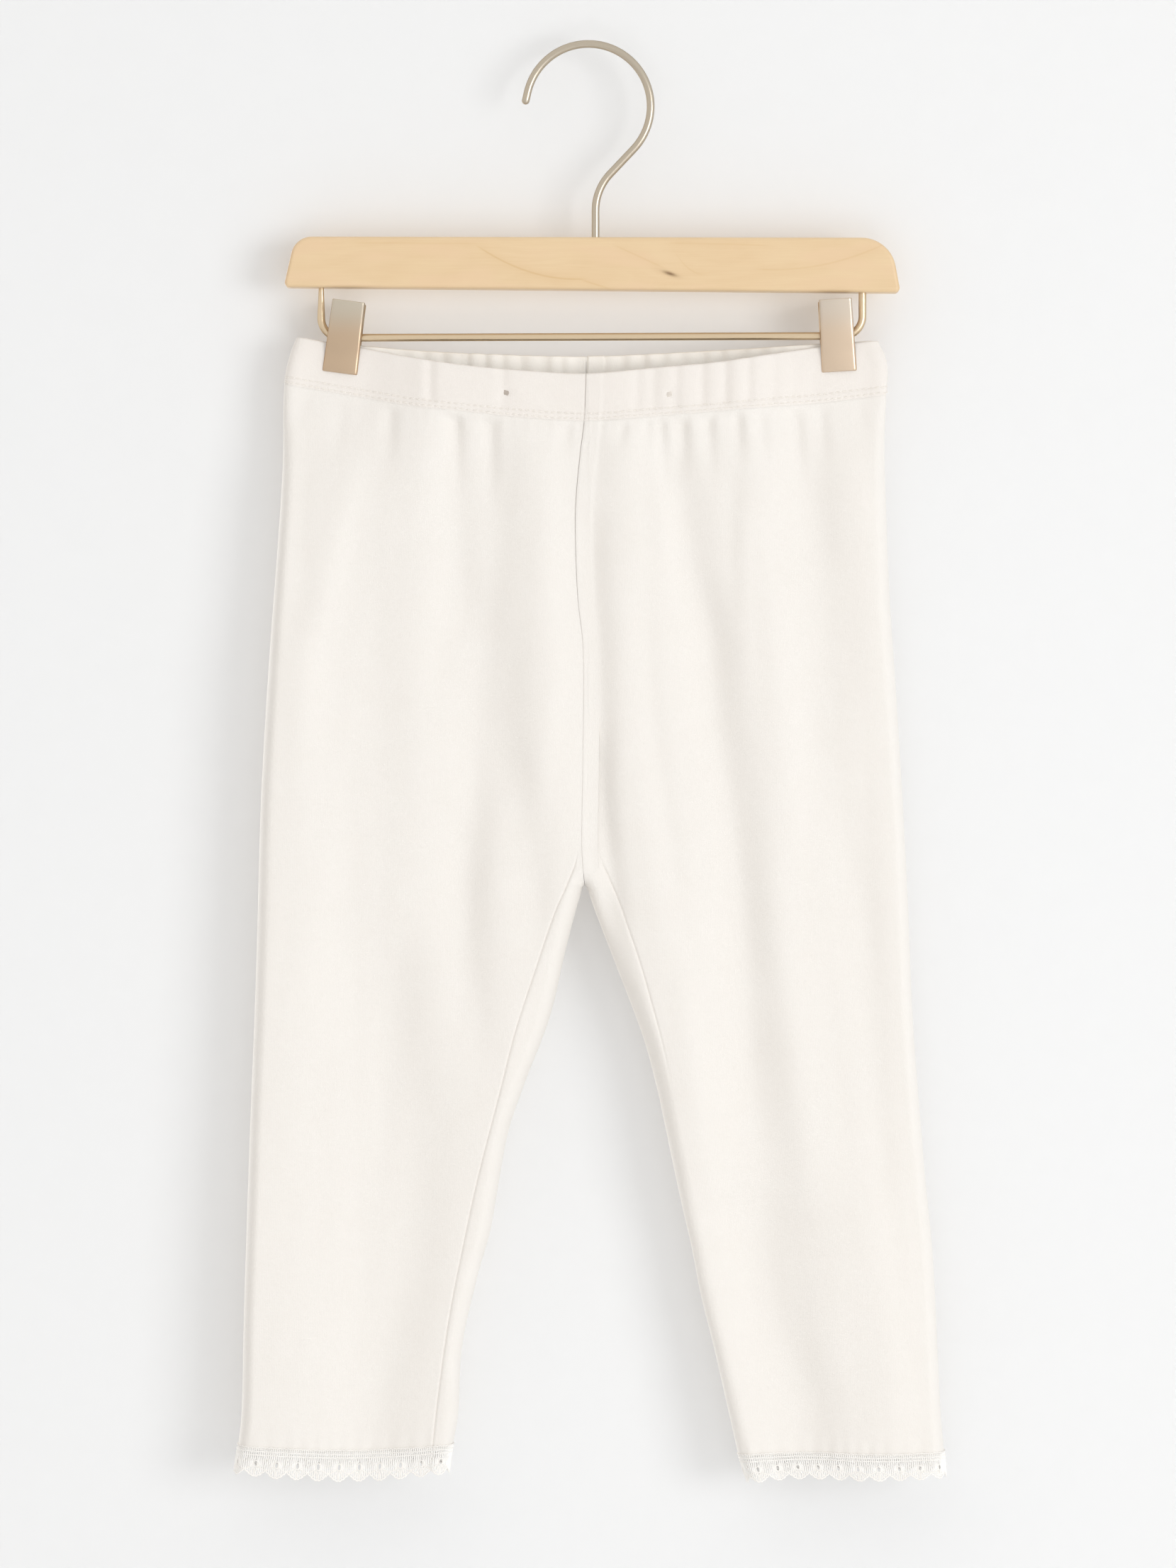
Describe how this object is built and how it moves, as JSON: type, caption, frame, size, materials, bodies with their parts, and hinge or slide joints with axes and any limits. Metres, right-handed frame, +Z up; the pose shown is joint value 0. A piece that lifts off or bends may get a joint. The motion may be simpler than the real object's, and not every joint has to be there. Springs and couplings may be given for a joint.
{
  "type": "capri leggings on a clip hanger",
  "caption": "Cream jersey capri leggings with a turned-down elastic waist and scalloped lace hems, hung flat by the waist from a wooden clip hanger with a wire hook.",
  "frame": {"origin": "inside top of the hook's round, where the hanger hangs", "axes": "+Z up, the garment's front faces -Y, +X to the right as seen from the front"},
  "size_m": [0.3072, 0.028, 0.6219],
  "materials": {
    "cream_jersey": "matt cotton jersey",
    "cream_lace": "matt knitted lace",
    "pale_wood": "satin varnish",
    "satin_steel": "satin nickel",
    "champagne_metal": "satin champagne"
  },
  "bodies": {
    "root": {"leg_panel_left": "cream_jersey", "leg_panel_right": "cream_jersey", "waist_casing_left": "cream_jersey", "waist_casing_right": "cream_jersey", "lace_left": "cream_lace", "lace_right": "cream_lace", "hanger_bar": "pale_wood", "hanger_hook": "satin_steel", "clip_wire": "satin_steel", "clip_front_left": "champagne_metal", "clip_back_left": "champagne_metal", "clip_spring_left": "satin_steel", "clip_front_right": "champagne_metal", "clip_back_right": "champagne_metal", "clip_spring_right": "satin_steel"}
  },
  "joints": []
}
